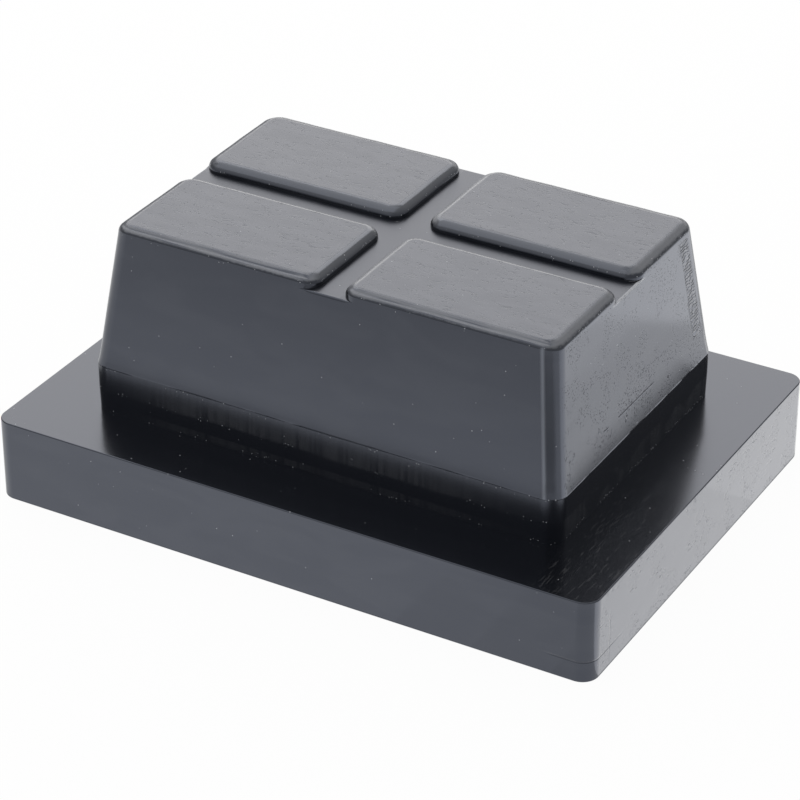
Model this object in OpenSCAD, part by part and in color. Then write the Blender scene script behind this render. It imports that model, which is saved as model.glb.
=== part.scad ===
// Rubber lift pad: one moulded piece with a broad foot slab, a leaning block on it and four raised pads on top.
// Millimetres, +Z up, long side along X, origin at the middle of the underside.

/* [Slab] */
// Length of the foot slab, along X
slab_length = 160; // [140:0.5:200]
// Width of the foot slab, along Y
slab_width = 114.8; // [100:0.5:150]
// Thickness of the foot slab
slab_height = 21.2; // [12:0.1:35]
// Radius of the slab's upright corners
slab_corner_radius = 4.2; // [2:0.1:10]
// Width of the small broken edge along the slab's top and bottom rims
slab_edge_break = 0.5; // [0.2:0.1:1.5]

/* [Block] */
// Bare slab top left at each end of the block
end_ledge = 17.5; // [10:0.1:25]
// Bare slab top left along each long side of the block
side_ledge = 16.6; // [10:0.1:22]
// Height of the block with its pads, above the slab
block_height = 47.8; // [38:0.1:70]
// Height of the upright skirt at the foot of the block
skirt_height = 11.7; // [5:0.1:18]
// Lean of the end faces above the skirt, in degrees
end_draft = 6.7; // [2:0.1:10]
// Lean of the long faces above the skirt, in degrees
side_draft = 8.6; // [2:0.1:10]
// Radius of the block's corners, and of the pads' corners seen from above
block_corner_radius = 4.4; // [3:0.1:7]

/* [Pads] */
// Width of the channel that runs along X, at its floor
long_channel_width = 7; // [4:0.1:12]
// Width of the channel that runs along Y, at its floor
cross_channel_width = 6.4; // [4:0.1:12]
// Depth of both channels below the pad tops
channel_depth = 2.65; // [2.2:0.05:5]
// How far the bevel round each pad reaches in from the pad's side
bevel_run = 1.9; // [0.8:0.05:2.4]
// How far the bevel round each pad drops from the pad's top
bevel_drop = 1.45; // [0.6:0.05:2]

/* [Hidden] */
$fn = 96;

// Black rubber, as red, green and blue shares
rubber_color_shares = [0.1, 0.1, 0.11];
// How far cutters and buried roots run past the faces they meet
overrun = 5;
// Angle at which a corner's round runs into the faces beside it, in degrees
blend_angle = 6;
// Step to which the pads' worked-out plan is rounded, so that planes and cones meet on the same line
plan_step = 0.01;

// Heights above the underside
top_height = slab_height + block_height;
skirt_top = slab_height + skirt_height;
floor_height = top_height - channel_depth;
bevel_foot = top_height - bevel_drop;
// Plan sizes, as half lengths along X and Y
foot_half = [slab_length / 2 - end_ledge, slab_width / 2 - side_ledge];
channel_half = [cross_channel_width, long_channel_width] / 2;
// How far each pair of faces leans in for a rise of one
lean = [tan(end_draft), tan(side_draft)];

// Half lengths of the sharp-cornered block at a height above the skirt
function half_at(height) = foot_half - lean * (height - skirt_top);
// The same lengths on the plan's step
function on_step(lengths) = [for (v = lengths) round(v / plan_step) * plan_step];

// Lays a shape out in all four quadrants, mirrored about X and Y
module in_quadrants() {
    for (x = [0, 1], y = [0, 1])
        mirror([x, 0, 0])
            mirror([0, y, 0])
                children();
}

// Stands a flat section up and runs it along Y, its own X and Y becoming X and Z
module along_y(span) {
    rotate([90, 0, 0])
        linear_extrude(span, center = true)
            children();
}

// Stands a flat section up and runs it along X, its own X and Y becoming Y and Z
module along_x(span) {
    rotate([90, 0, 90])
        linear_extrude(span, center = true)
            children();
}

// Plate with round upright corners whose sides follow one outline all round.
// The outline is a list of [inset from the side, height], from the bottom up.
module plate(size, radius, outline) {
    reach = size / 2;
    module bar_section(half_width)
        polygon(concat(
            [for (p = outline) [half_width - p[0], p[1]]],
            [for (i = [len(outline) - 1:-1:0]) [outline[i][0] - half_width, outline[i][1]]]));
    along_x(size[0] - 2 * radius)
        bar_section(reach[1]);
    along_y(size[1] - 2 * radius)
        bar_section(reach[0]);
    in_quadrants()
        translate([reach[0] - radius, reach[1] - radius, 0])
            rotate_extrude()
                polygon(concat(
                    [[0, outline[0][1]]],
                    [for (p = outline) [radius - p[0], p[1]]],
                    [[0, outline[len(outline) - 1][1]]]));
}

// Cutter that rounds the edge between a face towards +X and a face towards +Y, the edge passing the origin.
// Each face leans in by its share of the rise, and the round is a true cylinder that blends into both faces.
module edge_cutter(face_lean, radius, below, above) {
    stretch = [norm([1, face_lean[0]]), norm([1, face_lean[1]])];
    tilt = atan(norm(face_lean));
    turn = atan2(-face_lean[1], -face_lean[0]);
    // Directions across the cylinder, and the two faces' normals seen along it
    right = [cos(tilt) * cos(turn), cos(tilt) * sin(turn), -sin(tilt)];
    back = [-sin(turn), cos(turn), 0];
    first = [1, 0, face_lean[0]] / stretch[0];
    second = [0, 1, face_lean[1]] / stretch[1];
    first_seen = [first * right, first * back];
    second_seen = [second * right, second * back];
    reach = 2 * radius;
    seat = radius * cos(blend_angle);
    translate([-seat * stretch[0], -seat * stretch[1], 0])
        rotate([0, tilt, turn])
            translate([0, 0, -below])
                linear_extrude(below + above)
                    difference() {
                        polygon([[0, 0], reach * first_seen, reach * (first_seen + second_seen), reach * second_seen]);
                        circle(radius);
                    }
}

// Foot slab with its rims lightly broken
module slab() {
    plate([slab_length, slab_width], slab_corner_radius, [
        [slab_edge_break, 0],
        [0, slab_edge_break],
        [0, slab_height - slab_edge_break],
        [slab_edge_break, slab_height]]);
}

// Upright skirt and leaning sides in one section, rooted in the slab
module block_section(foot, top) {
    root = slab_height - overrun;
    polygon([
        [-foot, root], [foot, root], [foot, skirt_top],
        [top, top_height], [-top, top_height], [-foot, skirt_top]]);
}

// Sharp-cornered block: the end section and the side section run through each other
module block_blank() {
    top_half = half_at(top_height);
    intersection() {
        along_y(slab_width)
            block_section(foot_half[0], top_half[0]);
        along_x(slab_length)
            block_section(foot_half[1], top_half[1]);
    }
}

// Rounds of one corner of the block: upright along the skirt, then leaning with the faces
module block_corner_rounds() {
    translate([foot_half[0], foot_half[1], skirt_top]) {
        edge_cutter([0, 0], block_corner_radius, skirt_height + 2 * overrun, block_corner_radius);
        edge_cutter(lean, block_corner_radius, block_corner_radius, block_height);
    }
}

// The two channels that cross between the pads
module channels() {
    translate([0, 0, floor_height + (channel_depth + overrun) / 2]) {
        cube([slab_length, long_channel_width, channel_depth + overrun], center = true);
        cube([cross_channel_width, slab_width, channel_depth + overrun], center = true);
    }
}

// Rounds of one pad's three channel-side corners, seen from above, down to the channel floor
module pad_corner_rounds() {
    far_half = half_at(floor_height);
    room = channel_depth + overrun;
    intersection() {
        translate([0, 0, floor_height]) {
            translate(channel_half)
                mirror([1, 0, 0])
                    mirror([0, 1, 0])
                        edge_cutter([0, 0], block_corner_radius, overrun, room);
            translate([far_half[0], channel_half[1], 0])
                mirror([0, 1, 0])
                    edge_cutter([lean[0], 0], block_corner_radius, overrun, room);
            translate([channel_half[0], far_half[1], 0])
                mirror([1, 0, 0])
                    edge_cutter([0, lean[1]], block_corner_radius, overrun, room);
        }
        translate([0, 0, floor_height])
            cube([slab_length, slab_width, room]);
    }
}

// Space that one pad may fill: its bevel planes carried down past the pad's sides, with cones at the corners
module pad_room() {
    far_half = on_step(half_at(bevel_foot));
    size = far_half - channel_half;
    middle = (far_half + channel_half) / 2;
    flare = (bevel_foot - floor_height) * bevel_run / bevel_drop;
    translate(middle)
        plate(size, block_corner_radius, [
            [-flare, floor_height],
            [bevel_run, top_height],
            [bevel_run, top_height + overrun]]);
}

// Everything above the pads' sides that the bevels take away
module bevel_waste() {
    low = (floor_height + bevel_foot) / 2;
    high = top_height + overrun / 2;
    difference() {
        translate([-slab_length / 2, -slab_width / 2, low])
            cube([slab_length, slab_width, high - low]);
        in_quadrants()
            pad_room();
    }
}

// Leaning block with round corners, crossed channels and bevelled pads
module block() {
    difference() {
        block_blank();
        in_quadrants()
            block_corner_rounds();
        channels();
        in_quadrants()
            pad_corner_rounds();
        bevel_waste();
    }
}

// The whole pad, moulded in one piece
module lift_pad() {
    color(rubber_color_shares)
        union() {
            slab();
            block();
        }
}

lift_pad();
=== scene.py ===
"""Rubber lift pad: one moulded block with a foot slab, leaning sides and four bevelled pads on top.

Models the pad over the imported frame, gives it a black rubber finish and sets it on a plain stage.
"""

import math
from collections import namedtuple
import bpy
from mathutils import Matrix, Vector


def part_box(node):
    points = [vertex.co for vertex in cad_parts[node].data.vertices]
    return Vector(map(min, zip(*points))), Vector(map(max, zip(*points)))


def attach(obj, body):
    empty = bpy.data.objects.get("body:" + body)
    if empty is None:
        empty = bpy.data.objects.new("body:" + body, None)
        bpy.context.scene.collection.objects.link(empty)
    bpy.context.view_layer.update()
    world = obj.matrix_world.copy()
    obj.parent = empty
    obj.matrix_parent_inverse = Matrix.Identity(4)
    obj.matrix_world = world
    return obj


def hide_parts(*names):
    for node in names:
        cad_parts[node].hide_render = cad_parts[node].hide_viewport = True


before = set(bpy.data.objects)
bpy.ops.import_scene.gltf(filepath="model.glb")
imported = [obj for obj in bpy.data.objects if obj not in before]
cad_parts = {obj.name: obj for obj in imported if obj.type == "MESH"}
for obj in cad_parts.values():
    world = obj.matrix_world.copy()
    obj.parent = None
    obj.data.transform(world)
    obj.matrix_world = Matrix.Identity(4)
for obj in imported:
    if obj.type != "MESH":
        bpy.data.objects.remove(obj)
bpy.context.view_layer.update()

from types import SimpleNamespace

import bmesh
import bpy
from bpy.props import FloatProperty, FloatVectorProperty, PointerProperty
from mathutils import Matrix, Vector, noise

bl_info = {
    "name": "Rubber lift pad",
    "version": (1, 0, 0),
    "blender": (4, 5, 0),
    "location": "View3D > Sidebar > Lift pad",
    "description": "Models a moulded rubber lift pad over its packed frame and sets its stage",
    "category": "Object",
}

NODE = "lift_pad"
BODY = "root"
LOW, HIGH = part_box(NODE)

# One millimetre, in metres
MM = 0.001
# How close two places are when they count as the same
TOUCH = 1e-6
# Places of the plan's axes in a vector
X, Y = 0, 1

# Faces round each quarter turn of a corner and across each small round
CORNER_STEPS = 14
ROUND_STEPS = 5
# Cuts along each straight edge of a pad
EDGE_CUTS = 24
# A round's profile, as bevel counts it
ROUND_PROFILE = 0.5
# Turn between two faces past which their edge is shown sharp
SHARP_ANGLE = math.radians(40)
# How far large flat faces rule the shading over the small rounds beside them
FLAT_FACE_WEIGHT = 90
# The flare's outline from its top to its foot, as shares of its height and of its reach
FLARE_SHARES = ((1, 0), (0.4, 0.27), (0, 1))
# How much of its reach the flash stands out by all along
FLASH_SHARE = 0.3
# How much of its rise the skirt's top line lies higher by on the whole
LINE_SHARE = 0.8
# Marks on the edge loops that get a small round, and on the rings of vertices that run unevenly or
# stay sharp
LINE_SLAB_TOP, LINE_SLAB_BOTTOM = 1, 2
RING_NONE, RING_TRIM = 0, 1
RING_FLASH, RING_ABOVE_FLASH, RING_BELOW_FLASH, RING_PARTING = 2, 3, 4, 5
FLASH_RINGS = (RING_FLASH, RING_ABOVE_FLASH, RING_BELOW_FLASH)


# Settings

def length_setting(name, description, default):
    """A length that a user may change."""
    return FloatProperty(name=name, description=description, default=default, unit="LENGTH")


def colour_setting(name, description, default):
    """A colour that a user may change."""
    return FloatVectorProperty(
        name=name, description=description, default=default, subtype="COLOR", min=0, max=1)


# Sizes

class PadSizes(bpy.types.PropertyGroup):
    """Sizes of the moulding."""

    slab_length: length_setting(
        "Slab length", "Length of the foot slab, along X", default=HIGH.x - LOW.x)
    slab_width: length_setting("Slab width", "Width of the foot slab, along Y", default=HIGH.y - LOW.y)
    slab_height: length_setting("Slab height", "Thickness of the foot slab", default=21.2 * MM)
    slab_corner_radius: length_setting(
        "Slab corner radius", "Radius of the slab's upright corners", default=4.2 * MM)
    slab_rim_round: length_setting(
        "Slab rim round", "Width of the small round along the slab's rims", default=0.3 * MM)
    end_ledge: length_setting("End ledge", "Bare slab top at each end of the block", default=17.5 * MM)
    side_ledge: length_setting(
        "Side ledge", "Bare slab top along each long side of the block", default=16.6 * MM)
    top_height: length_setting(
        "Top height", "Height of the pad tops above the underside", default=HIGH.z - LOW.z)
    skirt_height: length_setting(
        "Skirt height", "Height of the upright skirt at the block's foot", default=11.7 * MM)
    flash_width: length_setting(
        "Flash width", "Height of the thin flash line along the skirt's top", default=0.4 * MM)
    flash_reach: length_setting(
        "Flash reach", "How far the flash stands out where it is longest", default=0.08 * MM)
    flare_height: length_setting(
        "Flare height", "Height of the slight flare at the foot of the leaning sides", default=5 * MM)
    flare_reach: length_setting(
        "Flare reach", "How far the flare stands out at its foot", default=0.15 * MM)
    parting_drop: length_setting(
        "Parting drop", "How far the mould's parting line runs below the skirt's top", default=5.9 * MM)
    line_rise: length_setting(
        "Line rise", "How far the skirt's top line wanders up along the long sides", default=0.6 * MM)
    line_period: length_setting("Line period", "Length over which that line wanders", default=40 * MM)
    trim_reach: length_setting(
        "Trim reach", "How far the pads' edges wander, as hand-trimmed edges do", default=0.07 * MM)
    trim_period: length_setting(
        "Trim period", "Length over which a trimmed edge wanders", default=5 * MM)
    end_draft: FloatProperty(
        name="End draft", description="Lean of the end faces above the skirt",
        default=math.radians(6.7), subtype="ANGLE")
    side_draft: FloatProperty(
        name="Side draft", description="Lean of the long faces above the skirt",
        default=math.radians(8.6), subtype="ANGLE")
    block_corner_radius: length_setting(
        "Block corner radius", "Radius of the block's corners and of the pads' corners",
        default=4.4 * MM)
    long_channel_width: length_setting(
        "Long channel width", "Width of the channel along X, at its floor", default=7 * MM)
    cross_channel_width: length_setting(
        "Cross channel width", "Width of the channel along Y, at its floor", default=6.4 * MM)
    channel_depth: length_setting(
        "Channel depth", "Depth of both channels below the pad tops", default=2.65 * MM)
    channel_lip: length_setting(
        "Channel lip", "Size of the round where a channel floor runs out over a side",
        default=0.55 * MM)
    bevel_run: length_setting("Bevel run", "How far the pads' bevel reaches in", default=1.9 * MM)
    bevel_drop: length_setting("Bevel drop", "How far the pads' bevel drops", default=1.45 * MM)
    end_bevel_lift: length_setting(
        "End bevel lift", "How much higher the bevel's foot lies on the ends", default=0.3 * MM)
    side_bevel_lift: length_setting(
        "Side bevel lift", "How much higher the bevel's foot lies on the long sides", default=0.9 * MM)
    bevel_rim_round: length_setting(
        "Bevel rim round", "Width of the round between a pad's top and its bevel", default=0.85 * MM)
    bevel_foot_round: length_setting(
        "Bevel foot round", "Width of the round between a pad's bevel and its sides", default=0.85 * MM)


class Levels:
    """Heights and half lengths worked out from the sizes."""

    def __init__(self, sizes):
        self.sizes = sizes
        self.radius = sizes.block_corner_radius
        # From the tip of a sharp corner to the middle of its round
        self.corner = Vector((self.radius, self.radius))
        self.slab_half = Vector((sizes.slab_length, sizes.slab_width)) / 2
        self.foot_half = self.slab_half - Vector((sizes.end_ledge, sizes.side_ledge))
        self.channel_half = Vector((sizes.cross_channel_width, sizes.long_channel_width)) / 2
        self.draft = (sizes.end_draft, sizes.side_draft)
        self.lean = Vector((math.tan(sizes.end_draft), math.tan(sizes.side_draft)))
        self.skirt_top = sizes.slab_height + sizes.skirt_height
        self.parting = self.skirt_top - sizes.parting_drop
        self.floor = sizes.top_height - sizes.channel_depth
        self.bevel_foot = sizes.top_height - sizes.bevel_drop
        self.floor_half = self.half_at(self.floor)
        self.pad_middle = (self.channel_half + self.floor_half) / 2

    def half_at(self, height):
        """Half lengths of the sharp-cornered block at a height above the skirt."""
        return self.foot_half - self.lean * (height - self.skirt_top)


# Modelling

def pick(made, kind):
    """The new items of one kind in an operator's result."""
    return [item for item in made["geom"] if isinstance(item, kind)]


def extrude_row(bm, edges):
    """Extrudes a row of edges and gives the new edges and vertices, which still lie on the old ones."""
    made = bmesh.ops.extrude_edge_only(bm, edges=edges)
    return pick(made, bmesh.types.BMEdge), pick(made, bmesh.types.BMVert)


def round_off(bm, edges, width):
    """Gives edges a small true round."""
    return bmesh.ops.bevel(
        bm, geom=edges, offset=width, offset_type="OFFSET", segments=ROUND_STEPS,
        profile=ROUND_PROFILE, affect="EDGES", material=-1)


def lay_plan(bm, levels):
    """The round-cornered plan of one quarter's pad, as a face on the channel floor."""
    middle = levels.pad_middle
    reach = (levels.floor_half - levels.channel_half) / 2
    plan = bmesh.ops.create_grid(bm, x_segments=1, y_segments=1, size=1)["verts"]
    bmesh.ops.scale(bm, vec=(reach.x, reach.y, 1), verts=plan)
    bmesh.ops.translate(bm, vec=(middle.x, middle.y, levels.floor), verts=plan)
    bmesh.ops.bevel(
        bm, geom=plan, offset=levels.radius, offset_type="OFFSET", segments=CORNER_STEPS,
        profile=ROUND_PROFILE, affect="VERTICES", material=-1)
    straight = [edge for edge in bm.edges if edge.calc_length() > levels.radius]
    bmesh.ops.subdivide_edges(bm, edges=straight, cuts=EDGE_CUTS)
    return bm.faces[:][0]


def lift_bevel_foot(levels, foot):
    """Moves the bevel's foot up the leaning sides, where it faces out from the block."""
    sizes = levels.sizes
    lifts = (sizes.end_bevel_lift, sizes.side_bevel_lift)
    turns = levels.half_at(levels.bevel_foot) - levels.corner
    for vert in foot:
        outward_shares = [max(0, vert.co[axis] - turns[axis]) / levels.radius for axis in (X, Y)]
        lift = sum(full * share ** 2 for full, share in zip(lifts, outward_shares))
        vert.co.z += lift
        for axis in (X, Y):
            if vert.co[axis] > levels.pad_middle[axis]:
                vert.co[axis] -= levels.lean[axis] * lift


def raise_pad(bm, levels):
    """One quarter's pad, raised from its plan with leaning sides and a bevel. Gives the plan's edges."""
    sizes = levels.sizes
    base = lay_plan(bm, levels)
    base_edges = base.edges[:]
    made = bmesh.ops.extrude_face_region(bm, geom=[base])
    bmesh.ops.delete(bm, geom=[base], context="FACES_ONLY")
    rise = levels.bevel_foot - levels.floor
    foot = pick(made, bmesh.types.BMVert)
    bmesh.ops.translate(bm, vec=(0, 0, rise), verts=foot)
    for axis in (X, Y):
        shift = Vector((0, 0, 0))
        shift[axis] = -levels.lean[axis] * rise
        leaning = [vert for vert in foot if vert.co[axis] > levels.pad_middle[axis]]
        bmesh.ops.translate(bm, vec=shift, verts=leaning)
    top = pick(made, bmesh.types.BMFace)[0]
    foot_edges = top.edges[:]
    bmesh.ops.inset_individual(
        bm, faces=[top], thickness=sizes.bevel_run, depth=sizes.bevel_drop, use_even_offset=True)
    lift_bevel_foot(levels, foot)
    ring = bm.verts.layers.int["ring"]
    for edges, width in ((top.edges[:], sizes.bevel_rim_round), (foot_edges, sizes.bevel_foot_round)):
        for vert in round_off(bm, edges, width)["verts"]:
            vert[ring] = RING_TRIM
    return base_edges


def open_mouth(bm, levels, base_edges, out):
    """Carries the channel floor out past a pad's round corner and over the side. Gives its last row.

    The lip's round shrinks to nothing where the corner runs into the side."""
    along = Y if out == X else X
    near, far = levels.channel_half, levels.floor_half
    lip = bm.verts.layers.float["lip"]

    def on_corner(edge):
        """Whether an edge of the plan turns round the corner at this mouth."""
        first, second = edge.verts
        inside = all(
            near[along] - TOUCH <= vert.co[along] <= near[along] + levels.radius + TOUCH
            and vert.co[out] >= far[out] - levels.radius - TOUCH
            for vert in (first, second))
        return inside and abs(first.co[along] - second.co[along]) > TOUCH

    row = [edge for edge in base_edges if on_corner(edge)]
    turn = math.pi / 2 - levels.draft[out]
    ends = []
    for step in range(ROUND_STEPS + 1):
        row, verts = extrude_row(bm, row)
        angle = turn * step / ROUND_STEPS
        for vert in verts:
            if step == 0:
                vert[lip] = min(levels.sizes.channel_lip, (far[out] - vert.co[out]) / 2)
            arc = vert[lip] / math.tan(turn / 2)
            vert.co[out] = far[out] - vert[lip] + arc * math.sin(angle)
            vert.co.z = levels.floor - arc * (1 - math.cos(angle))
        ends.append(min(verts, key=lambda vert: vert.co[along]))
    profile = [bm.edges.get(pair) for pair in zip(ends, ends[1:])]
    verts = extrude_row(bm, profile)[1]
    shift = Vector((0, 0, 0))
    shift[along] = -near[along]
    bmesh.ops.translate(bm, vec=shift, verts=verts)
    sill = [edge for edge in ends[-1].link_edges if any(vert in verts for vert in edge.verts)]
    return row + sill


def drop_sides(bm, levels, row):
    """Carries the block's upper outline down over the leaning sides, the skirt and the slab."""
    sizes, radius = levels.sizes, levels.radius
    line = bm.edges.layers.int["line"]
    ring = bm.verts.layers.int["ring"]
    half_flash = sizes.flash_width / 2
    foot_corner = levels.foot_half - levels.corner
    slab_corner = levels.slab_half - Vector((sizes.slab_corner_radius, sizes.slab_corner_radius))

    def lower(row, start, height):
        """Extrudes the row down the leaning sides from one height to another."""
        turns = levels.half_at(start) - levels.corner
        row, verts = extrude_row(bm, row)
        for vert in verts:
            for axis in (X, Y):
                if vert.co[axis] >= turns[axis] - TOUCH:
                    vert.co[axis] += levels.lean[axis] * (vert.co.z - height)
            vert.co.z = height
        return row, verts

    def push_out(verts, height, reach):
        """Moves a row at a height out from the block."""
        turns = levels.half_at(height) - levels.corner
        for vert in verts:
            for axis in (X, Y):
                vert.co[axis] += reach * max(0, vert.co[axis] - turns[axis]) / radius

    def drop(row, height):
        """Extrudes the row straight down to a height."""
        row, verts = extrude_row(bm, row)
        for vert in verts:
            vert.co.z = height
        return row, verts

    def mark_ring(verts, kind):
        """Notes which ring a row's vertices belong to."""
        for vert in verts:
            vert[ring] = kind

    def mark_line(row, kind):
        """Notes which line a row's edges belong to."""
        for edge in row:
            edge[line] = kind

    # Leaning sides with the flare at their foot
    start, reached = levels.floor, 0
    for rise_share, reach_share in FLARE_SHARES:
        height = levels.skirt_top + half_flash + sizes.flare_height * rise_share
        row, verts = lower(row, start, height)
        push_out(verts, height, sizes.flare_reach * (reach_share - reached))
        start, reached = height, reach_share
    mark_ring(verts, RING_ABOVE_FLASH)
    row, verts = lower(row, start, levels.skirt_top)
    mark_ring(verts, RING_FLASH)

    # Skirt, drawn in to its foot
    row, verts = drop(row, levels.skirt_top - half_flash)
    mark_ring(verts, RING_BELOW_FLASH)
    row, verts = drop(row, levels.parting)
    mark_ring(verts, RING_PARTING)
    row, verts = drop(row, sizes.slab_height)
    mark_ring(verts, RING_NONE)
    shrink = radius / (radius + sizes.flare_reach)
    for vert in verts:
        for axis in (X, Y):
            if vert.co[axis] > foot_corner[axis]:
                vert.co[axis] = foot_corner[axis] + (vert.co[axis] - foot_corner[axis]) * shrink

    # Slab
    row, verts = extrude_row(bm, row)
    spread = sizes.slab_corner_radius / radius
    for vert in verts:
        for axis in (X, Y):
            if vert.co[axis] >= foot_corner[axis] - TOUCH:
                vert.co[axis] = slab_corner[axis] + (vert.co[axis] - foot_corner[axis]) * spread
    mark_line(row, LINE_SLAB_TOP)
    row, verts = drop(row, 0)
    mark_line(row, LINE_SLAB_BOTTOM)


def model_quarter(bm, levels):
    """The quarter of the moulding towards +X and +Y, open at its cuts, between the pads and below."""
    base_edges = raise_pad(bm, levels)
    bound = levels.channel_half + levels.corner
    outer = [
        edge for edge in base_edges
        if all(vert.co[axis] >= bound[axis] - TOUCH for vert in edge.verts for axis in (X, Y))]
    front = open_mouth(bm, levels, base_edges, Y)
    side = open_mouth(bm, levels, base_edges, X)
    drop_sides(bm, levels, outer + front + side)


def run_unevenly(bm, sizes):
    """Lets the trimmed edges and the skirt's top line wander, and the flash stand out unevenly."""
    ring = bm.verts.layers.int["ring"]
    bm.normal_update()
    for vert in bm.verts:
        sway = noise.noise(vert.co / sizes.trim_period)
        if vert[ring] == RING_TRIM:
            vert.co += vert.normal * sway * sizes.trim_reach
        if vert[ring] in FLASH_RINGS:
            out = Vector((vert.normal.x, vert.normal.y, 0)).normalized()
            wander = noise.noise(Vector((vert.co.x, vert.co.y, 0)) / sizes.line_period)
            vert.co.z += abs(out.y) * (LINE_SHARE + wander) * sizes.line_rise
            if vert[ring] == RING_FLASH:
                vert.co += out * max(0, sway + FLASH_SHARE) * sizes.flash_reach


def model_pad(levels):
    """The whole moulding as one closed mesh: a quarter mirrored twice, floor and underside filled."""
    bm = bmesh.new()
    bm.verts.layers.float.new("lip")
    bm.verts.layers.int.new("ring")
    bm.edges.layers.int.new("line")
    model_quarter(bm, levels)
    for axis in ("X", "Y"):
        bmesh.ops.mirror(
            bm, geom=bm.verts[:] + bm.edges[:] + bm.faces[:], matrix=Matrix.Identity(4),
            merge_dist=TOUCH, axis=axis)
    bmesh.ops.remove_doubles(bm, verts=bm.verts[:], dist=TOUCH)
    open_edges = [edge for edge in bm.edges if edge.is_boundary]
    bmesh.ops.holes_fill(bm, edges=open_edges, sides=0)
    bmesh.ops.recalc_face_normals(bm, faces=bm.faces[:])
    line = bm.edges.layers.int["line"]
    for mark in (LINE_SLAB_TOP, LINE_SLAB_BOTTOM):
        round_off(bm, [edge for edge in bm.edges if edge[line] == mark], levels.sizes.slab_rim_round)
    run_unevenly(bm, levels.sizes)
    ring = bm.verts.layers.int["ring"]
    for face in bm.faces:
        face.smooth = True
    for edge in bm.edges:
        first, second = (vert[ring] for vert in edge.verts)
        on_flash = first == second and first >= RING_FLASH
        edge.smooth = edge.calc_face_angle() < SHARP_ANGLE and not on_flash
    return bm


# Finish

class RubberFinish(bpy.types.PropertyGroup):
    """The rubber's colour, gloss and wear, with the colours of its painted highlights, painted
    reflection and painted light.
    """

    rubber_colour: colour_setting(
        "Rubber colour", "Colour of the bare rubber", default=(0.0008, 0.0009, 0.0012))
    faded_colour: colour_setting(
        "Faded colour", "Colour of the rubber where it has gone dull", default=(0.0026, 0.0026, 0.003))
    # Real wear on the outer edges, and a painted highlight on the channel bevels that face away
    worn_colour: colour_setting(
        "Worn and highlight colour", "Colour of the rubbed edges and of the painted highlight on channel bevels that face away", default=(0.165, 0.168, 0.174))
    # Painted highlight: a light upright line along the block's near corner
    corner_highlight_colour: colour_setting(
        "Corner highlight colour", "Colour of the painted highlight along one upright corner",
        default=(0.15, 0.16, 0.18))
    # Painted light: the channel bevels lighter towards the top and darker down in the channel, where
    # shade falls
    inner_light_colour: colour_setting(
        "Inner light colour", "Colour of the painted light high on the bevels along the channels",
        default=(0.085, 0.087, 0.09))
    film_colour: colour_setting(
        "Film colour", "Colour of the rubber under the thin pale film on the pads",
        default=(0.024, 0.024, 0.026))
    scratch_colour: colour_setting(
        "Scratch colour", "Colour of the fine scratches on the slab's top",
        default=(0.042, 0.042, 0.044))
    # Painted reflection: the skirt lighter where it mirrors the floor
    haze_colour: colour_setting(
        "Skirt reflection colour", "Colour of the rubber under the thin haze on the skirt",
        default=(0.028, 0.0285, 0.03))
    bloom_colour: colour_setting(
        "Bloom colour", "Colour of the rubber under the faint bloom on its sides",
        default=(0.011, 0.0112, 0.0118))
    dust_colour: colour_setting(
        "Dust colour", "Colour of the dust specks and chips", default=(0.5, 0.51, 0.53))
    roughness: FloatProperty(
        name="Roughness", description="Roughness of the smooth moulded faces",
        default=0.19, subtype="FACTOR", min=0, max=1)
    refraction: FloatProperty(
        name="Refraction", description="Index of refraction, which sets how strongly the rubber mirrors",
        default=1.86, min=1, max=3)
    mirror_tint: colour_setting(
        "Mirror tint", "Tint of what the rubber mirrors head on", default=(0.755, 0.82, 1.0))


# A grain of noise: its lengths along X, Y and Z in millimetres, its place in the noise, its detail and
# its warp
Grain = namedtuple("Grain", "lengths shift detail warp")
CLOUDS = Grain((18, 18, 18), 3.1, 2, 0)
WAVES = Grain((24, 24, 24), 8.3, 0, 0)
SCUFFS = Grain((3.2, 1.1, 3.2), 11.9, 1, 2.2)
FILM = Grain((8, 3, 8), 61.7, 1, 0.5)
STREAKS = Grain((0.5, 4, 4), 5.3, 1, 0.5)
SCRAPES = Grain((1, 2.4, 0.6), 91.7, 1, 0.6)
SMEARS = Grain((0.9, 0.9, 30), 21.7, 1, 0)
DENTS = Grain((0.5, 0.65, 0.45), 51.3, 1, 0.4)
PATCHES = Grain((6, 6, 6), 31.3, 0, 0)
SCRIBBLE = Grain((2, 2, 2), 41.9, 1, 0)
RUB_LINES = Grain((12, 0.6, 0.6), 81.1, 0, 0)
FRAY = Grain((1.2, 1.2, 0.6), 71.3, 2, 0)
BLOOM = Grain((22, 22, 7), 101.3, 2, 0.6)

# Specks in cells: a cell's size and a speck's radius in millimetres, and the share of the cells that
# hold one
Specks = namedtuple("Specks", "cell radius share")
DUST = Specks(2.2, 0.17, 0.32)
EDGE_DUST = Specks(0.6, 0.15, 0.35)

# Shares of the noise between which a mark starts and is full
SCUFF_SHARES = (0.58, 0.75)
FILM_SHARES = (0.25, 0.75)
STREAK_SHARES = (0.58, 0.72)
SCRAPE_SHARES = (0.62, 0.74)
DENT_SHARES = (0.6, 0.7)
SMEAR_SHARES = (0.2, 0.65)
RUB_LINE_SHARES = (0.2, 0.65)
PATCH_SHARES = (0.4, 0.55)
BLOOM_SHARES = (0.35, 0.65)
# Shares of facing to an end, or to the front, between which a face counts as one that does
FACING_SHARES = (0.9, 0.98)
FRONT_SHARES = (0, 1)
# Shares of facing up between which a face counts as flat, or as upright
FLAT_SHARES = (0.975, 0.995)
UPRIGHT_SHARES = (0.08, 0.04)
# Shares of facing up between which a bevel counts as rubbed, and how far that frays
BEVEL_SHARES = (0.7, 1.05)
FRAY_SHARE = 0.4
# Shares of facing to an end between which a bevel is rubbed evenly instead of in lines, and how much
# it is rubbed there
ASIDE_SHARES = (0.15, 0.4)
EVEN_RUB_SHARE = 0.8
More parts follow.
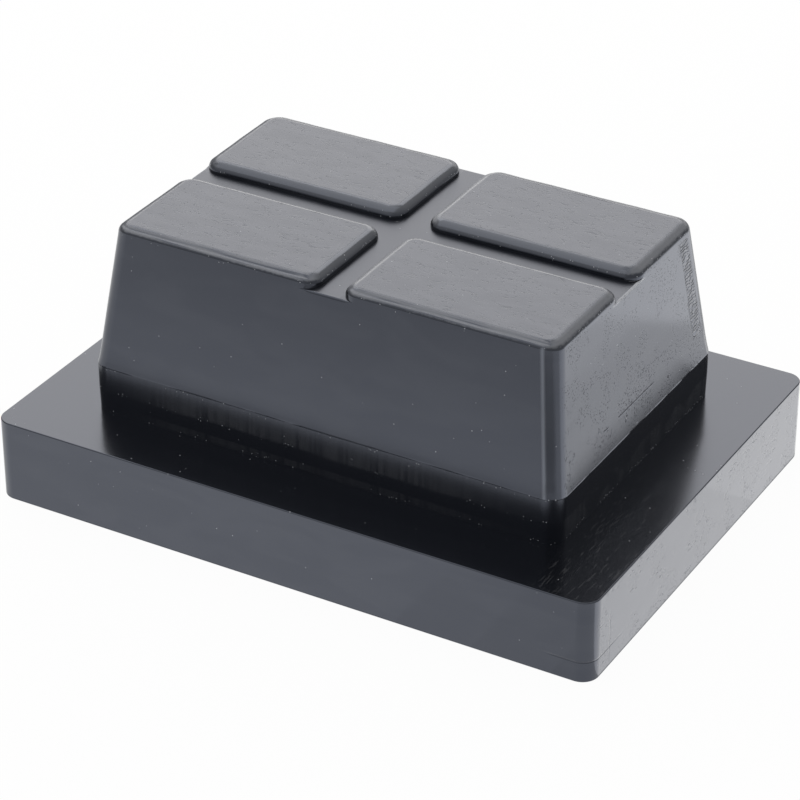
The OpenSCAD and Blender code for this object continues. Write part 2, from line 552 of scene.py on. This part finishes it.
# Shares of the fraying noise between which the chips along a channel's lip start and are full
CHIP_SHARES = (0.2, 0.4)
# Share of facing right at which the painted highlight along one upright corner is lightest, and the
# share over which it fades
HIGHLIGHT_TURN_SHARE = 0.2
HIGHLIGHT_SOFT_SHARE = 0.17
# Shares of facing right, or to the front, between which a bevel comes to count as facing away; the
# channel bevels that face away get a painted highlight
AWAY_SHARES = (-0.2, -0.45)
# How softly marks end at a border, in millimetres
BORDER = 0.2
# Room above the skirt for its wandering top line, in millimetres
LINE_ROOM = 1.2
# How far above the skirt's top the painted reflection would end, in millimetres
REFLECTION_FADE = 3.0
# Height of the strip of painted reflection at the skirt's foot, in millimetres
REFLECTION_FOOT = 2.0
# How much of the painted reflection that strip shows, and how much the right end shows
REFLECTION_FOOT_SHARE = 0.6
REFLECTION_END_SHARE = 0.7
# Between which places along X the painted reflection sets in and thins out again, in millimetres
REFLECTION_STARTS = (-56, -34)
REFLECTION_ENDS = (20, 62)
# How far the painted reflection's lower border wanders, and how softly it ends there, in millimetres
REFLECTION_WANDER = 2
REFLECTION_SOFT = 0.6

# How far each mark raises or lowers the surface, in millimetres
WAVE_RISE = 0.03
SCUFF_RISE = -0.025
SCRAPE_RISE = -0.04
SMEAR_RISE = 0.02
DENT_RISE = -0.035
HATCH_RISE = 0.05
GROOVE_RISE = -0.04
SPLIT_RISE = -0.12

# How far each mark changes the roughness
CLOUD_ROUGHNESS = 0.06
SKIRT_ROUGHNESS = 0.04
END_ROUGHNESS = -0.06
BEVEL_ROUGHNESS = 0.4
DULL_ROUGHNESS = 0.5
CHANNEL_ROUGHNESS = 0.1
SCUFF_ROUGHNESS = 0.18
SCRAPE_ROUGHNESS = 0.2
DUST_ROUGHNESS = 0.5

# How far dust gathers from the moulding's lines, in millimetres
DUST_BAND = 0.4
# The strip of fine hatching beside one upright corner, in millimetres: its middle's distance from the
# side, its half width, its rungs' pitch and how far they warp, the heights of its ends, and the distance
# from the side of the line along it
HATCH_INSET = 7.2
HATCH_HALF = 2.0
HATCH_PITCH = 0.9
HATCH_WARP = 1.6
HATCH_ENDS = (40, 66)
HATCH_EDGE = 9.6
# The chipped line along the lip of each end's channel, in millimetres: half its length, its drop below
# the channel's floor and half its width
LIP_HALF = 8
LIP_DROP = 0.2
LIP_WIDTH = 0.12
# Where the painted highlight along one upright corner fades in along X and along Y, in millimetres
HIGHLIGHT_ALONG_X = (40, 44)
HIGHLIGHT_ALONG_Y = (-20, -24)
# How far above the channels' floor the painted light on the bevels along them starts, and how far below
# the top it is full, in millimetres
INNER_LIGHT_START = 0.6
INNER_LIGHT_END = 0.3
# Over what length rubbed bevels give way to smooth ones, in millimetres
WORN_FADE = 3.5
# Half the width of a line, in millimetres
LINE_HALF = 0.08
# The scratch above the skirt of one end: its height and its ends along Y, in millimetres
SCRATCH_HEIGHT = 39
SCRATCH_ENDS = (-17, 16)
# The upright mould line on one end of the slab: its place along Y, in millimetres
MOULD_LINE_Y = -48.4
# The split line round one corner of the slab, in millimetres: its height, and where it fades in along X
# and along Y
SPLIT_HEIGHT = 5.4
SPLIT_ALONG_X = (66, 74)
SPLIT_ALONG_Y = (-40, -50)
# Where the fine scratches on one end of the slab fade in along X and along Y, in millimetres
STREAK_ALONG_X = (63, 66)
STREAK_ALONG_Y = (15, -45)


class Painter:
    """Adds shader nodes and joins them. An input is a socket or a plain value."""

    def __init__(self, tree):
        self.tree = tree

    def node(self, kind, inputs=None, **settings):
        """A new node with its settings, and its inputs joined or set."""
        made = self.tree.nodes.new("ShaderNode" + kind)
        for name, value in settings.items():
            setattr(made, name, value)
        for name, value in (inputs or {}).items():
            if isinstance(value, bpy.types.NodeSocket):
                self.tree.links.new(value, made.inputs[name])
            else:
                made.inputs[name].default_value = value
        return made

    def math(self, operation, first, second=0, third=0):
        """The result of one sum."""
        return self.node("Math", {0: first, 1: second, 2: third}, operation=operation).outputs[0]

    def size(self, value):
        """The value without its sign."""
        return self.math("ABSOLUTE", value)

    def ramp(self, value, low, high):
        """Rises smoothly from 0 at low to 1 at high, or falls when low is the larger."""
        inputs = {"Value": value, "From Min": min(low, high), "From Max": max(low, high)}
        rising = low <= high
        inputs["To Min"] = 0 if rising else 1
        inputs["To Max"] = 1 if rising else 0
        return self.node("MapRange", inputs, interpolation_type="SMOOTHSTEP").outputs[0]

    def both(self, *masks):
        """Where every mask holds."""
        shown = masks[0]
        for mask in masks[1:]:
            shown = self.math("MULTIPLY", shown, mask)
        return shown

    def either(self, *masks):
        """Where any mask holds."""
        shown = masks[0]
        for mask in masks[1:]:
            shown = self.math("MAXIMUM", shown, mask)
        return shown

    def outside(self, mask):
        """Where the mask doesn't hold."""
        return self.math("SUBTRACT", 1, mask)

    def total(self, *terms):
        """The sum of terms, each a pair of an amount and a mask."""
        summed = 0
        for amount, mask in terms:
            summed = self.math("MULTIPLY_ADD", mask, amount, summed)
        return summed

    def blend(self, share, first, second):
        """Mixes two colours."""
        mix = self.node("Mix", {"Factor": share, "A": first, "B": second}, data_type="RGBA")
        return mix.outputs["Result"]


class PadPainter(Painter):
    """A Painter that knows places and levels on the pad, in millimetres, and which way a face looks."""

    def __init__(self, tree, levels):
        super().__init__(tree)
        metres = self.node("TexCoord").outputs["Object"]
        place = self.node("VectorMath", {"Vector": metres, "Scale": 1 / MM}, operation="SCALE")
        self.place = place.outputs[0]
        self.x, self.y, self.z = self.node("SeparateXYZ", {0: self.place}).outputs
        facing = self.node("NewGeometry").outputs["Normal"]
        self.facing_x, self.facing_y, self.facing_z = self.node("SeparateXYZ", {0: facing}).outputs
        self.facing_ends = self.size(self.facing_x)
        self.slab_top = levels.sizes.slab_height / MM
        self.parting = levels.parting / MM
        self.skirt_top = levels.skirt_top / MM
        self.floor = levels.floor / MM
        self.bevel_foot = levels.bevel_foot / MM
        self.top = levels.sizes.top_height / MM
        run = levels.sizes.bevel_run
        self.rim_half = (levels.half_at(levels.bevel_foot) - Vector((run, run))) / MM
        self.side = levels.foot_half.y / MM
        self.side_lean = levels.lean.y

    def band(self, value, centre, half, soft=BORDER):
        """1 within half of the centre, falling to 0 over the soft distance past it."""
        return self.ramp(self.size(self.math("SUBTRACT", value, centre)), half + soft, half)

    def between(self, value, low, high):
        """1 from low to high, with soft borders past them."""
        middle = (low + high) / 2
        return self.band(value, middle, high - middle)

    def line(self, value, place):
        """A fine line at a place."""
        return self.band(value, place, LINE_HALF)

    def noise(self, grain):
        """Noise of a grain, about 0 to 1."""
        scale = [1 / length for length in grain.lengths]
        shift = [grain.shift] * len(scale)
        place = self.node("VectorMath", {0: self.place, 1: scale, 2: shift}, operation="MULTIPLY_ADD")
        inputs = {
            "Vector": place.outputs[0], "Scale": 1, "Detail": grain.detail, "Distortion": grain.warp}
        return self.node("TexNoise", inputs).outputs["Fac"]

    def marks(self, grain, shares):
        """Marks where the noise of a grain is high, by the shares at which they start and are full."""
        return self.ramp(self.noise(grain), *shares)

    def specks(self, specks):
        """Round specks scattered through space, so that a face cuts them to many sizes."""
        cells = self.node("TexVoronoi", {"Vector": self.place, "Scale": 1 / specks.cell})
        radius = specks.radius / specks.cell
        inside = self.ramp(cells.outputs["Distance"], radius, radius / 2)
        chance = self.node("SeparateColor", {0: cells.outputs["Color"]}).outputs[0]
        return self.both(inside, self.math("LESS_THAN", chance, specks.share))


def pad_parts(paint):
    """Masks of the pad's parts, and two noises that many marks share."""
    parts = SimpleNamespace()
    parts.fray = paint.noise(FRAY)
    parts.patches = paint.marks(PATCHES, PATCH_SHARES)
    parts.flat = paint.ramp(paint.facing_z, *FLAT_SHARES)
    parts.sloped = paint.outside(parts.flat)
    parts.right = paint.ramp(paint.facing_x, *FACING_SHARES)
    parts.ends = paint.ramp(paint.facing_ends, *FACING_SHARES)
    parts.slab = paint.ramp(paint.z, paint.slab_top + 2 * BORDER, paint.slab_top + BORDER)
    parts.block = paint.outside(parts.slab)
    line_top = paint.skirt_top + LINE_ROOM
    parts.skirt = paint.both(
        parts.block,
        paint.ramp(paint.facing_z, *UPRIGHT_SHARES),
        paint.ramp(paint.z, line_top, line_top - BORDER))
    parts.off_skirt = paint.outside(parts.skirt)
    parts.pad_tops = paint.both(
        parts.flat, paint.ramp(paint.z, paint.bevel_foot, paint.bevel_foot + BORDER))
    parts.channels = paint.both(
        parts.flat,
        paint.ramp(paint.z, paint.skirt_top, paint.floor - BORDER),
        paint.ramp(paint.z, paint.bevel_foot, paint.bevel_foot - BORDER))
    return parts


def rubbed_edges(paint, parts):
    """Masks of worn bevels with a painted highlight on channel bevels facing away, of dull bevels, of
    painted light high on the channel bevels, and of a painted highlight along one upright corner.
    """
    tipped = paint.math("MULTIPLY_ADD", parts.fray, FRAY_SHARE, paint.facing_z)
    bevels = paint.both(
        paint.ramp(tipped, *BEVEL_SHARES),
        paint.ramp(paint.z, paint.floor + BORDER, paint.floor + 2 * BORDER),
        parts.sloped)
    outer = paint.either(
        paint.ramp(paint.size(paint.x), paint.rim_half.x - WORN_FADE, paint.rim_half.x),
        paint.ramp(paint.size(paint.y), paint.rim_half.y - WORN_FADE, paint.rim_half.y))
    facing_front = paint.math("MULTIPLY", paint.facing_y, -1)
    away = paint.either(
        paint.ramp(paint.facing_x, *AWAY_SHARES), paint.ramp(facing_front, *AWAY_SHARES))
    towards = paint.outside(away)
    in_lines = paint.both(
        paint.marks(RUB_LINES, RUB_LINE_SHARES), paint.ramp(paint.facing_ends, *reversed(ASIDE_SHARES)))
    evenly = paint.both(paint.ramp(paint.facing_ends, *ASIDE_SHARES), EVEN_RUB_SHARE)
    # Rubbed wear on the outer bevels that face right or to the front, and a painted highlight on the
    # channel bevels that face left or back
    rubbed_and_highlight = paint.either(
        paint.both(outer, towards, paint.either(in_lines, evenly)),
        paint.both(away, paint.outside(outer)))
    edges = SimpleNamespace()
    edges.worn = paint.both(bevels, rubbed_and_highlight)
    edges.dull = paint.both(bevels, outer, away)
    # Painted light: the channel bevels facing right or to the front are lighter towards the top and
    # darker down in the channel, where shade falls
    edges.inner = paint.both(
        paint.ramp(paint.z, paint.floor + INNER_LIGHT_START, paint.top - INNER_LIGHT_END),
        parts.sloped, paint.outside(outer), towards)
    # Painted highlight: a light upright line near the start of the block's near corner, above the skirt
    edges.corner = paint.both(
        paint.band(paint.facing_x, HIGHLIGHT_TURN_SHARE, 0, HIGHLIGHT_SOFT_SHARE),
        paint.ramp(facing_front, *FRONT_SHARES),
        parts.block, parts.off_skirt, paint.outside(bevels),
        paint.ramp(paint.x, *HIGHLIGHT_ALONG_X), paint.ramp(paint.y, *HIGHLIGHT_ALONG_Y))
    return edges


def skirt_haze(paint, parts, clouds, smears):
    """Mask of the painted reflection on the skirt, lighter above the parting line, at the foot and on
    the right end.
    """
    level = paint.math("SUBTRACT", paint.z, REFLECTION_WANDER / 2)
    wander = paint.math("MULTIPLY_ADD", clouds, REFLECTION_WANDER, level)
    upper = paint.both(
        paint.ramp(wander, paint.parting - REFLECTION_SOFT, paint.parting + REFLECTION_SOFT),
        paint.ramp(paint.z, paint.skirt_top + REFLECTION_FADE, paint.parting))
    foot_top = paint.slab_top + REFLECTION_FOOT
    foot = paint.both(paint.ramp(paint.z, foot_top + BORDER, foot_top), REFLECTION_FOOT_SHARE)
    on_sides = paint.both(
        paint.either(upper, foot), paint.outside(parts.ends),
        paint.ramp(paint.x, *REFLECTION_STARTS), paint.ramp(paint.x, *reversed(REFLECTION_ENDS)))
    on_end = paint.both(
        paint.ramp(paint.z, paint.parting + BORDER, paint.parting - BORDER),
        parts.right, parts.patches, REFLECTION_END_SHARE)
    return paint.both(paint.either(on_sides, on_end), parts.skirt, paint.ramp(smears, *SMEAR_SHARES))


def surface_marks(paint, parts):
    """Masks of the marks that the mould and use have left all over the faces, and of the painted
    reflection on the skirt.
    """
    marks = SimpleNamespace()
    marks.clouds = paint.noise(CLOUDS)
    marks.smears = paint.both(paint.noise(SMEARS), parts.skirt)
    # Painted reflection on the skirt, standing in for the floor that it mirrors
    marks.haze = skirt_haze(paint, parts, marks.clouds, marks.smears)
    marks.bloom = paint.both(paint.marks(BLOOM, BLOOM_SHARES), parts.sloped, parts.off_skirt)
    marks.scuffs = paint.both(paint.marks(SCUFFS, SCUFF_SHARES), parts.pad_tops)
    marks.film = paint.both(paint.marks(FILM, FILM_SHARES), parts.pad_tops, paint.outside(marks.scuffs))
    marks.streaks = paint.both(
        paint.marks(STREAKS, STREAK_SHARES), parts.flat, parts.slab,
        paint.ramp(paint.x, *STREAK_ALONG_X), paint.ramp(paint.y, *STREAK_ALONG_Y))
    marks.scrapes = paint.both(
        paint.marks(SCRAPES, SCRAPE_SHARES), parts.right, parts.slab, parts.patches)
    marks.dents = paint.both(
        paint.marks(DENTS, DENT_SHARES), parts.ends, parts.off_skirt, parts.patches)
    return marks


def fine_lines(paint, parts):
    """Masks of the single lines: the hatched strip, the grooves and the split line."""
    lines = SimpleNamespace()
    rise = paint.math("MULTIPLY_ADD", paint.z, paint.side_lean, paint.y)
    inset = paint.math("SUBTRACT", paint.side + paint.side_lean * paint.skirt_top, rise)
    warped = paint.math("MULTIPLY_ADD", paint.noise(SCRIBBLE), HATCH_WARP, paint.z)
    rungs = paint.math("SINE", paint.math("MULTIPLY", warped, 2 * math.pi / HATCH_PITCH))
    strip = paint.both(parts.right, paint.between(paint.z, *HATCH_ENDS))
    lines.hatch = paint.both(rungs, strip, paint.band(inset, HATCH_INSET, HATCH_HALF))
    strip_edge = paint.both(paint.line(inset, HATCH_EDGE), strip)
    scratch = paint.both(
        paint.line(paint.z, SCRATCH_HEIGHT), parts.right, paint.between(paint.y, *SCRATCH_ENDS))
    mould_line = paint.both(paint.line(paint.y, MOULD_LINE_Y), parts.right, parts.slab)
    lines.grooves = paint.both(paint.either(scratch, mould_line, strip_edge), parts.patches)
    lines.split = paint.both(
        paint.line(paint.z, SPLIT_HEIGHT),
        paint.ramp(paint.x, *SPLIT_ALONG_X), paint.ramp(paint.y, *SPLIT_ALONG_Y))
    return lines


def dust_mask(paint, parts):
    """Mask of loose specks, of dust along the moulding's lines and of chips on the channels' lips."""
    def gathered(*heights):
        """Where dust gathers along lines at some heights."""
        return paint.either(*(paint.band(paint.z, height, DUST_BAND) for height in heights))

    at_sides = paint.both(gathered(paint.parting, paint.skirt_top), paint.outside(parts.ends))
    at_rims = gathered(paint.slab_top + DUST_BAND + BORDER, paint.bevel_foot)
    on_lines = paint.both(
        paint.either(at_sides, at_rims), parts.sloped, paint.specks(EDGE_DUST), parts.patches)
    chips = paint.both(
        paint.ramp(paint.size(paint.x), paint.rim_half.x - BORDER, paint.rim_half.x),
        paint.band(paint.z, paint.floor - LIP_DROP, LIP_WIDTH),
        paint.band(paint.y, 0, LIP_HALF),
        parts.sloped, paint.ramp(parts.fray, *CHIP_SHARES))
    loose = paint.both(paint.specks(DUST), paint.either(parts.block, parts.flat, parts.patches))
    return paint.either(loose, on_lines, chips)


def black_rubber(finish, levels):
    """Black moulded rubber, a little scuffed and dusty, with painted highlights, a painted reflection on
    the skirt and painted light in the channels.
    """
    material = bpy.data.materials.new("black_rubber")
    material.use_nodes = True
    tree = material.node_tree
    shader = tree.nodes["Principled BSDF"]
    paint = PadPainter(tree, levels)
    parts = pad_parts(paint)
    edges = rubbed_edges(paint, parts)
    marks = surface_marks(paint, parts)
    lines = fine_lines(paint, parts)
    dust = dust_mask(paint, parts)

    height = paint.total(
        (WAVE_RISE, paint.noise(WAVES)), (SCUFF_RISE, marks.scuffs), (SCRAPE_RISE, marks.scrapes),
        (SMEAR_RISE, marks.smears), (DENT_RISE, marks.dents), (HATCH_RISE, lines.hatch),
        (GROOVE_RISE, lines.grooves), (SPLIT_RISE, lines.split))
    bump = paint.node("Bump", {"Height": height, "Distance": MM})
    rough = paint.total(
        (CLOUD_ROUGHNESS, marks.clouds), (SKIRT_ROUGHNESS, parts.skirt), (END_ROUGHNESS, parts.ends),
        (BEVEL_ROUGHNESS, edges.worn), (DULL_ROUGHNESS, edges.dull), (CHANNEL_ROUGHNESS, parts.channels),
        (SCRAPE_ROUGHNESS, marks.scrapes), (SCUFF_ROUGHNESS, marks.scuffs), (DUST_ROUGHNESS, dust))
    rough = paint.math("ADD", rough, finish.roughness - CLOUD_ROUGHNESS / 2)
    # Colours laid over the rubber. Bloom, film, scratches and dust are real marks. The skirt's
    # reflection, the light in the channels, and the highlights on bevels and on one corner are painted.
    colour_layers = (
        (marks.bloom, finish.bloom_colour), (marks.film, finish.film_colour),
        (marks.streaks, finish.scratch_colour), (marks.haze, finish.haze_colour),
        (edges.inner, finish.inner_light_colour), (edges.worn, finish.worn_colour),
        (edges.corner, finish.corner_highlight_colour), (dust, finish.dust_colour))
    colour = paint.blend(marks.clouds, (*finish.rubber_colour, 1), (*finish.faded_colour, 1))
    for mask, shade in colour_layers:
        colour = paint.blend(mask, colour, (*shade, 1))
    links = {"Base Color": colour, "Roughness": rough, "Normal": bump.outputs[0]}
    for name, socket in links.items():
        tree.links.new(socket, shader.inputs[name])
    shader.inputs["IOR"].default_value = finish.refraction
    shader.inputs["Specular Tint"].default_value = (*finish.mirror_tint, 1)
    return material


# Stage

class StageSettings(bpy.types.PropertyGroup):
    """Camera, floor and lamps."""

    azimuth: FloatProperty(
        name="Azimuth", description="Camera's turn round the pad, from the front towards the right",
        default=math.radians(29.762), subtype="ANGLE")
    elevation: FloatProperty(
        name="Elevation", description="Camera's rise above the floor",
        default=math.radians(30.643), subtype="ANGLE")
    distance: length_setting(
        "Distance", "From the camera to the point it looks at", default=774.82 * MM)
    aim: FloatVectorProperty(
        name="Aim", description="Point that the camera looks at",
        default=(1.105 * MM, -3.998 * MM, 22.962 * MM), subtype="XYZ", unit="LENGTH")
    lens: FloatProperty(
        name="Lens", description="Focal length in millimetres", default=145.317, min=1, max=400)
    floor_colour: colour_setting(
        "Floor colour", "Colour of the plain floor", default=(0.95, 0.95, 0.95))
    sky_level: FloatProperty(
        name="Sky level", description="Brightness of the even light all round",
        default=0.45, min=0, max=2)


# Colours of light
WHITE = (1, 1, 1)
WARM = (1, 0.98, 0.95)
# A lamp that faces the pad: its name, the direction it stands in, its distance and size in metres, its
# brightness and its colour
Softbox = namedtuple("Softbox", "name direction distance size level colour")
SOFTBOXES = (
    Softbox("back_softbox", (-0.48, 0.75, 0.5), 1.2, (1.4, 1.2), 1.65, (1.0, 0.97, 0.93)),
    Softbox("front_softbox", (-0.3, -0.75, 0.6), 1.2, (1.6, 0.8), 0.18, WHITE),
    Softbox("top_softbox", (-0.25, 0.0, 0.97), 1.2, (1.2, 1.4), 0.7, WHITE),
)
# A lamp flat on the floor: its name, its near and far corners in metres, its brightness and its colour
FloorLamp = namedtuple("FloorLamp", "name low high level colour")
FLOOR_LAMPS = (
    FloorLamp("near_strip", (0.1, -0.053), (0.116, -0.03), 0.9, WARM),
    FloorLamp("side_strip", (0.0802, -0.053), (0.1, 0.12), 0.9, WARM),
    FloorLamp("far_strip", (0.0802, 0.03), (0.1, 0.12), 0.15, WARM),
    FloorLamp("near_table", (0.1, -0.03), (0.13, 0.12), 0.4, WHITE),
    FloorLamp("far_table", (0.13, -0.02), (0.36, 0.12), 0.65, WHITE),
    FloorLamp("back_table", (0.1, 0.12), (0.36, 0.4), 1.0, WHITE),
    FloorLamp("front_strip", (-0.16, -0.11), (0.03, -0.0576), 0.2, WHITE),
    FloorLamp("front_fade", (0.03, -0.11), (0.05, -0.0576), 0.14, WHITE),
    FloorLamp("front_end", (0.05, -0.11), (0.07, -0.0576), 0.07, WHITE),
    FloorLamp("front_wash", (-0.2, -0.19), (0.02, -0.12), 0.1, WHITE),
)
# How much of the floor's look is plain white, the rest being lit and shadowed
FLOOR_WHITE_SHARE = 0.965
# Half the floor's length, and how far it lies below the pad
FLOOR_REACH = 3.0
FLOOR_GAP = 0.1 * MM
# How far the cards and the floor's lamps lie above the underside
CARD_RISE = 0.2 * MM
LAMP_RISE = 0.3 * MM
# A card on the floor that only reflections show: its name, its colour, how much of it shows plain
# white, its middle and half lengths in metres, and its turn about Z
Card = namedtuple("Card", "name colour white_share middle reach turn")
CARDS = (
    Card("grey_card", (0.6, 0.6, 0.6), 0, (0.204, -0.287), (0.15, 0.12), math.radians(30)),
    Card("pale_card", (0.5, 0.5, 0.5), 0.7, (-0.1, -0.36), (0.2, 0.12), 0),
)


def white_to_the_eye(paint, lit, share):
    """Shader that is plain white for a share, to the camera and in reflections, and lit for the rest."""
    path = paint.node("LightPath").outputs
    seen = paint.either(path["Is Camera Ray"], path["Is Glossy Ray"], path["Is Transmission Ray"])
    part = paint.math("MULTIPLY", seen, share)
    white = paint.node("Emission", {"Color": (*WHITE, 1), "Strength": 1})
    return paint.node("MixShader", {0: part, 1: lit, 2: white.outputs[0]}).outputs[0]


def plain_sheet(name, colour, white_share):
    """A matt sheet material that shows white for a share."""
    material = bpy.data.materials.new(name)
    material.use_nodes = True
    tree = material.node_tree
    tree.nodes.clear()
    paint = Painter(tree)
    lit = paint.node("BsdfDiffuse", {"Color": (*colour, 1)}).outputs[0]
    shown = white_to_the_eye(paint, lit, white_share)
    paint.node("OutputMaterial", {"Surface": shown})
    return material


def lay_sheet(context, name, reach, matrix, material):
    """A flat sheet of the stage, its half lengths and its place given."""
    bm = bmesh.new()
    made = bmesh.ops.create_grid(bm, x_segments=1, y_segments=1, size=1)
    bmesh.ops.scale(bm, vec=(*reach, 1), verts=made["verts"])
    bmesh.ops.transform(bm, matrix=matrix, verts=made["verts"])
    mesh = bpy.data.meshes.new(name)
    bm.to_mesh(mesh)
    bm.free()
    mesh.materials.append(material)
    sheet = bpy.data.objects.new(name, mesh)
    context.scene.collection.objects.link(sheet)
    return sheet


def hang_lamp(context, name, size, level, colour):
    """A rectangular lamp of a given brightness, lying flat at the origin and shining down."""
    light = bpy.data.lights.new(name, "AREA")
    light.shape = "RECTANGLE"
    light.size, light.size_y = size
    light.energy = level * math.pi * size[X] * size[Y]
    light.color = colour
    lamp = bpy.data.objects.new(name, light)
    lamp.visible_camera = False
    context.scene.collection.objects.link(lamp)
    return lamp


def set_camera(scene, settings):
    """The camera, looking at its aim."""
    azimuth, elevation = settings.azimuth, settings.elevation
    level = math.cos(elevation)
    back = Vector((math.sin(azimuth) * level, -math.cos(azimuth) * level, math.sin(elevation)))
    camera = bpy.data.objects.new("camera", bpy.data.cameras.new("camera"))
    camera.data.lens = settings.lens
    camera.data.sensor_fit = "HORIZONTAL"
    camera.data.dof.use_dof = False
    camera.location = Vector(settings.aim) + back * settings.distance
    camera.rotation_euler = (-back).to_track_quat("-Z", "Y").to_euler()
    scene.collection.objects.link(camera)
    scene.camera = camera


# Operators

class LIFTPAD_OT_pad(bpy.types.Operator):
    """Model the rubber pad and give it its finish"""

    bl_idname = "liftpad.pad"
    bl_label = "Model the pad"

    def execute(self, context):
        levels = Levels(context.scene.liftpad_sizes)
        bm = model_pad(levels)
        if any(not edge.is_manifold for edge in bm.edges):
            raise RuntimeError("the pad's mesh isn't closed")
        mesh = bpy.data.meshes.new("rubber_pad")
        bm.to_mesh(mesh)
        bm.free()
        piece = bpy.data.objects.new("rubber_pad", mesh)
        even = piece.modifiers.new("even_shading", "WEIGHTED_NORMAL")
        even.keep_sharp = True
        even.weight = FLAT_FACE_WEIGHT
        context.scene.collection.objects.link(piece)
        mesh.materials.append(black_rubber(context.scene.liftpad_finish, levels))
        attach(piece, BODY)
        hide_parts(NODE)
        return {"FINISHED"}


class LIFTPAD_OT_stage(bpy.types.Operator):
    """Set up the camera, the floor and the lamps"""

    bl_idname = "liftpad.stage"
    bl_label = "Set the stage"

    def execute(self, context):
        scene = context.scene
        settings = scene.liftpad_stage
        set_camera(scene, settings)

        white = plain_sheet("pale_floor", settings.floor_colour, FLOOR_WHITE_SHARE)
        below = Matrix.Translation((0, 0, -FLOOR_GAP))
        lay_sheet(context, "floor", (FLOOR_REACH, FLOOR_REACH), below, white)
        for card in CARDS:
            place = Matrix.Translation((*card.middle, CARD_RISE)) @ Matrix.Rotation(card.turn, 4, "Z")
            material = plain_sheet(card.name, card.colour, card.white_share)
            sheet = lay_sheet(context, card.name, card.reach, place, material)
            sheet.visible_camera = False

        world = bpy.data.worlds.new("even_light")
        world.use_nodes = True
        scene.world = world
        sky = world.node_tree.nodes["Background"]
        sky.inputs["Color"].default_value = (*WHITE, 1)
        sky.inputs["Strength"].default_value = settings.sky_level

        for box in SOFTBOXES:
            lamp = hang_lamp(context, box.name, box.size, box.level, box.colour)
            direction = Vector(box.direction).normalized()
            lamp.location = direction * box.distance
            lamp.rotation_euler = (-direction).to_track_quat("-Z", "Y").to_euler()
        for flat in FLOOR_LAMPS:
            low, high = Vector(flat.low), Vector(flat.high)
            lamp = hang_lamp(context, flat.name, high - low, flat.level, flat.colour)
            lamp.location = (*(low + high) / 2, LAMP_RISE)
            lamp.rotation_euler = (math.pi, 0, 0)

        scene.view_settings.view_transform = "Standard"
        return {"FINISHED"}


class LIFTPAD_PT_sidebar(bpy.types.Panel):
    """Lists the pad's operators and their sizes"""

    bl_idname = "LIFTPAD_PT_sidebar"
    bl_label = "Lift pad"
    bl_space_type = "VIEW_3D"
    bl_region_type = "UI"
    bl_category = "Lift pad"

    def draw(self, context):
        scene = context.scene
        for operator, groups in PANEL_ROWS:
            box = self.layout.box()
            box.operator(operator)
            for group in groups:
                settings = getattr(scene, group)
                for name in settings.__annotations__:
                    box.prop(settings, name)


PANEL_ROWS = (
    (LIFTPAD_OT_pad.bl_idname, ("liftpad_sizes", "liftpad_finish")),
    (LIFTPAD_OT_stage.bl_idname, ("liftpad_stage",)),
)
CLASSES = (PadSizes, RubberFinish, StageSettings, LIFTPAD_OT_pad, LIFTPAD_OT_stage, LIFTPAD_PT_sidebar)


def register():
    for cls in CLASSES:
        bpy.utils.register_class(cls)
    bpy.types.Scene.liftpad_sizes = PointerProperty(type=PadSizes)
    bpy.types.Scene.liftpad_finish = PointerProperty(type=RubberFinish)
    bpy.types.Scene.liftpad_stage = PointerProperty(type=StageSettings)


def unregister():
    del bpy.types.Scene.liftpad_stage
    del bpy.types.Scene.liftpad_finish
    del bpy.types.Scene.liftpad_sizes
    for cls in reversed(CLASSES):
        bpy.utils.unregister_class(cls)


def main():
    register()
    bpy.ops.liftpad.pad()
    bpy.ops.liftpad.stage()


if __name__ == "__main__":
    main()
